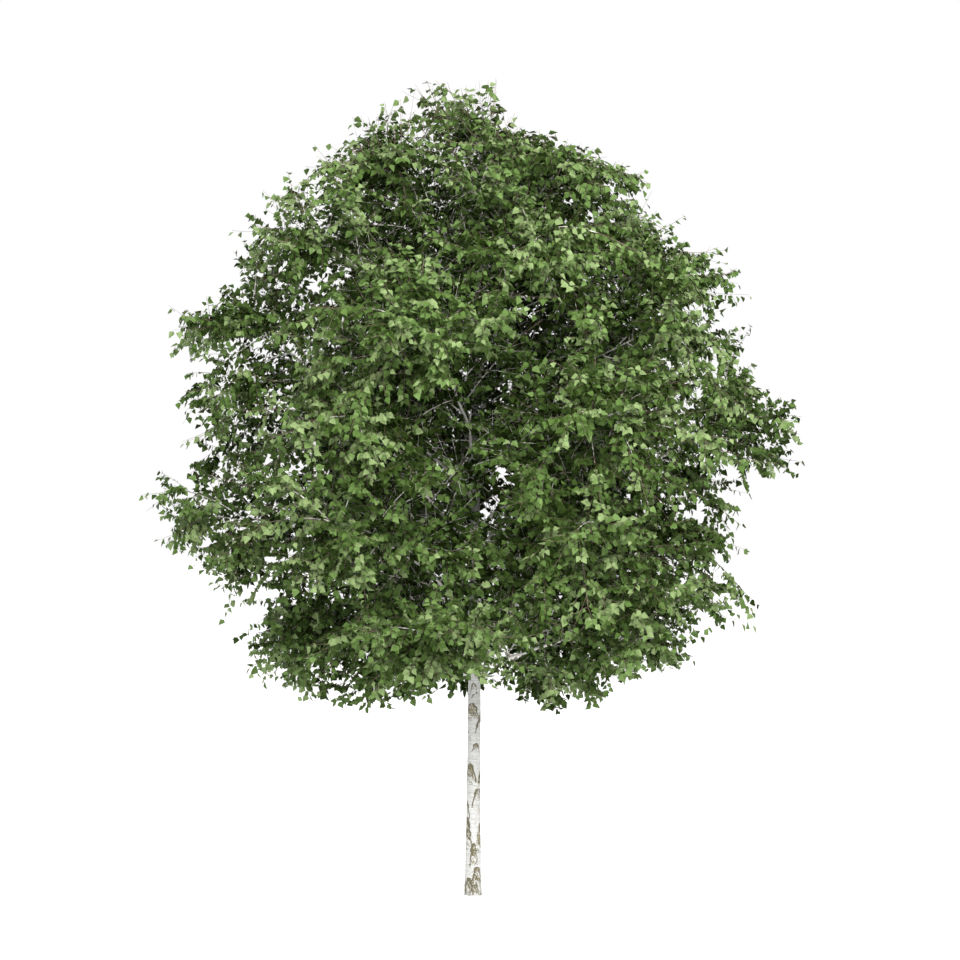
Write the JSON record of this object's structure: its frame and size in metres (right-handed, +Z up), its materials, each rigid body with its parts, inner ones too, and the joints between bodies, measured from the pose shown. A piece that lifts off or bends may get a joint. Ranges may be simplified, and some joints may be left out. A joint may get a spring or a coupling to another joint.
{
  "type": "young birch tree",
  "caption": "Young silver birch in full leaf: a slim white trunk cut flat at the ground, slender rising boughs and a dense, round crown.",
  "frame": {"origin": "middle of the flat cut under the trunk, at ground level", "axes": "+Z straight up, +X to the right seen from the front, -Y towards the front"},
  "size_m": [4.8266, 4.2913, 5.9515],
  "materials": {
    "trunk_bark": "papery white birch bark with dark fissures, matt",
    "bough_bark": "smooth pale bark that turns red-brown on the twigs",
    "foliage": "fresh green leaves with a soft sheen"
  },
  "bodies": {
    "root": {"trunk": "trunk_bark", "bough_skirt_1": "bough_bark", "foliage_skirt_1": "foliage", "bough_skirt_2": "bough_bark", "foliage_skirt_2": "foliage", "bough_skirt_3": "bough_bark", "foliage_skirt_3": "foliage", "bough_skirt_4": "bough_bark", "foliage_skirt_4": "foliage", "bough_skirt_5": "bough_bark", "foliage_skirt_5": "foliage", "bough_lower_1": "bough_bark", "foliage_lower_1": "foliage", "bough_lower_2": "bough_bark", "foliage_lower_2": "foliage", "bough_lower_3": "bough_bark", "foliage_lower_3": "foliage", "bough_lower_4": "bough_bark", "foliage_lower_4": "foliage", "bough_lower_5": "bough_bark", "foliage_lower_5": "foliage", "bough_lower_6": "bough_bark", "foliage_lower_6": "foliage", "bough_middle_1": "bough_bark", "foliage_middle_1": "foliage", "bough_middle_2": "bough_bark", "foliage_middle_2": "foliage", "bough_middle_3": "bough_bark", "foliage_middle_3": "foliage", "bough_middle_4": "bough_bark", "foliage_middle_4": "foliage", "bough_middle_5": "bough_bark", "foliage_middle_5": "foliage", "bough_middle_6": "bough_bark", "foliage_middle_6": "foliage", "bough_upper_1": "bough_bark", "foliage_upper_1": "foliage", "bough_upper_2": "bough_bark", "foliage_upper_2": "foliage", "bough_upper_3": "bough_bark", "foliage_upper_3": "foliage", "bough_upper_4": "bough_bark", "foliage_upper_4": "foliage", "bough_upper_5": "bough_bark", "foliage_upper_5": "foliage", "bough_shoulder_1": "bough_bark", "foliage_shoulder_1": "foliage", "bough_shoulder_2": "bough_bark", "foliage_shoulder_2": "foliage", "bough_shoulder_3": "bough_bark", "foliage_shoulder_3": "foliage", "bough_shoulder_4": "bough_bark", "foliage_shoulder_4": "foliage", "bough_crest_1": "bough_bark", "foliage_crest_1": "foliage", "bough_crest_2": "bough_bark", "foliage_crest_2": "foliage", "bough_crest_3": "bough_bark", "foliage_crest_3": "foliage", "foliage_leader": "foliage"}
  },
  "joints": []
}
